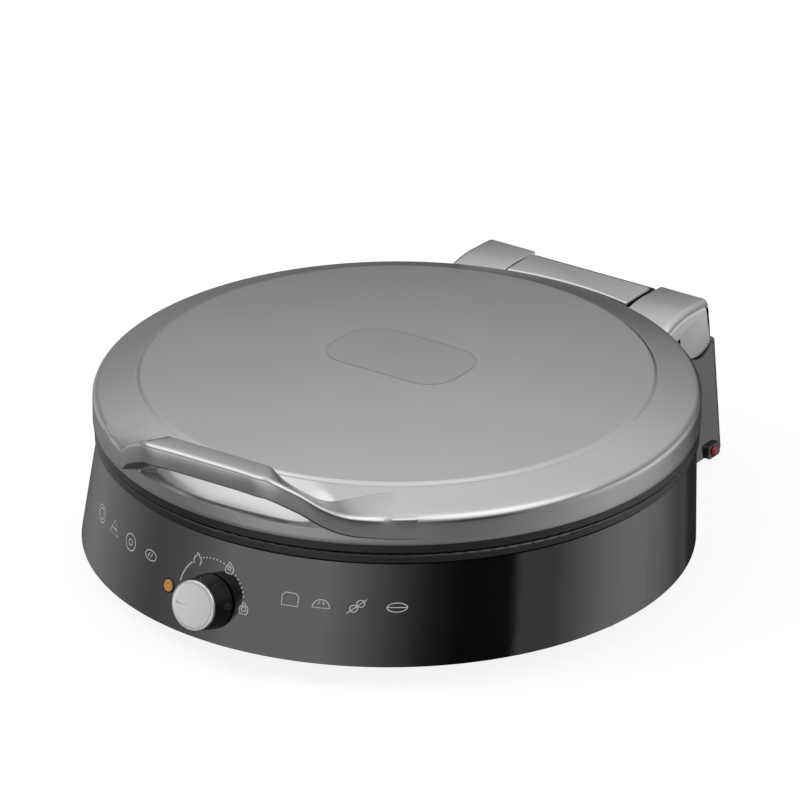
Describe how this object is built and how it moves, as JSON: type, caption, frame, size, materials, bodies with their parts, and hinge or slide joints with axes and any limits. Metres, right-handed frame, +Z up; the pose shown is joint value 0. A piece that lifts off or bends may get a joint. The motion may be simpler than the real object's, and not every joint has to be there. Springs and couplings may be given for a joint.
{
  "type": "double-sided electric baking pan",
  "caption": "Round double-sided electric baking pan: low base with a non-stick pan, knob and lamp, and a hinged silver lid with a second pan and a bar handle.",
  "frame": {"origin": "on the table, under the middle of the whole object's box; z = 0 is the underside of the feet", "axes": "+Z up, -Y towards the user at the knob and handle, +X to the user's right"},
  "size_m": [0.3464, 0.41, 0.1277],
  "materials": {
    "silver_satin": "satin silver paint on a moulding",
    "badge_silver": "smooth silver plate",
    "charcoal_gloss": "glossy dark charcoal moulding",
    "black_gloss": "glossy black moulding",
    "black_satin": "satin black moulding",
    "nonstick": "cast aluminium with a dark non-stick coat",
    "element_steel": "heat-darkened steel tube",
    "zinc_sheet": "zinc-coated sheet",
    "screw_steel": "plated steel",
    "brown_ceramic": "moulded insulator",
    "foot_rubber": "black rubber",
    "cap_silver": "satin silver cap",
    "lens_amber": "clear amber lens",
    "lamp_glass": "neon lamp",
    "terminal_white": "white insulator",
    "button_red": "glossy red moulding",
    "bush_plastic": "natural acetal"
  },
  "bodies": {
    "base": {"base_shell": "charcoal_gloss", "base_bottom_cover": "black_satin", "base_collar": "black_gloss", "lower_pan": "nonstick", "lower_heating_element": "element_steel", "lower_heat_shield": "zinc_sheet", "lower_pan_screws": "screw_steel", "lower_thermal_limiter": "brown_ceramic", "rubber_feet": "foot_rubber", "bottom_screws": "screw_steel", "thermostat_bracket": "zinc_sheet", "thermostat_body": "brown_ceramic", "thermostat_screws": "screw_steel", "indicator_lens": "lens_amber", "indicator_lamp": "lamp_glass", "terminal_block": "terminal_white", "cord_gland": "foot_rubber", "thermal_fuse": "screw_steel", "hinge_housing": "black_satin", "hinge_cover": "silver_satin", "hinge_bracket": "zinc_sheet", "hinge_bracket_screws": "screw_steel", "hinge_pin": "screw_steel", "release_spring": "screw_steel"},
    "lid": {"lid_shell": "silver_satin", "lid_top_panel": "silver_satin", "lid_badge": "badge_silver", "lid_handle": "silver_satin", "upper_trim_ring": "black_gloss", "upper_pan": "nonstick", "upper_heating_element": "element_steel", "upper_heat_shield": "zinc_sheet", "upper_pan_screws": "screw_steel", "upper_thermal_limiter": "brown_ceramic", "hinge_bush_left": "bush_plastic", "hinge_bush_right": "bush_plastic"},
    "knob": {"knob_barrel": "black_gloss", "knob_cap": "cap_silver", "thermostat_shaft": "screw_steel"},
    "button": {"release_button": "button_red"}
  },
  "joints": [
    {"name": "lid_hinge", "type": "hinge", "parent": "base", "child": "lid", "pos_m": [0, 0.18327, 0.085], "axis": [-1, 0, 0], "range_deg": [0, 180]},
    {"name": "knob_turn", "type": "hinge", "parent": "base", "child": "knob", "pos_m": [-0.004, -0.18561, 0.036], "axis": [0.0228, 0.9749, -0.2216], "range_deg": [0, 190]},
    {"name": "release_button", "type": "slide", "parent": "base", "child": "button", "axis": [-1, 0, 0], "range_m": [0, 0.0025], "stiffness_N_per_m": 400, "deforming": ["release_spring"]}
  ]
}
